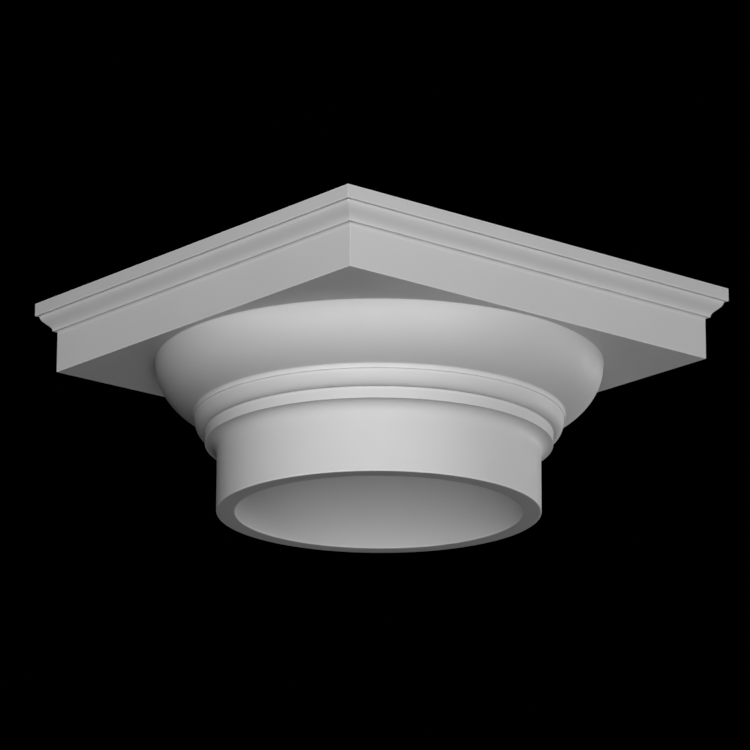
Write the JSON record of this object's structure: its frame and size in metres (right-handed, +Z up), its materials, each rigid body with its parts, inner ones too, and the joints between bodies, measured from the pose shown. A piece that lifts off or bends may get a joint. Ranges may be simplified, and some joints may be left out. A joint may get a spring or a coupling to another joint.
{
  "type": "column capital",
  "caption": "Hollow Tuscan column capital: round neck with cove, fillet and bead, broad echinus, and a square abacus with a cyma and fascia, open right through",
  "frame": {"origin": "centre of the neck's foot, in the plane of the flat ring that stands on the column shaft", "axes": "+Z up along the axis of the neck and bore, through the square top; X and Y along the sides of the square abacus"},
  "size_m": [0.4604, 0.4604, 0.2099],
  "materials": {
    "white_primer": "matt white primer on cast polyurethane"
  },
  "bodies": {
    "root": {"capital": "white_primer"}
  },
  "joints": []
}
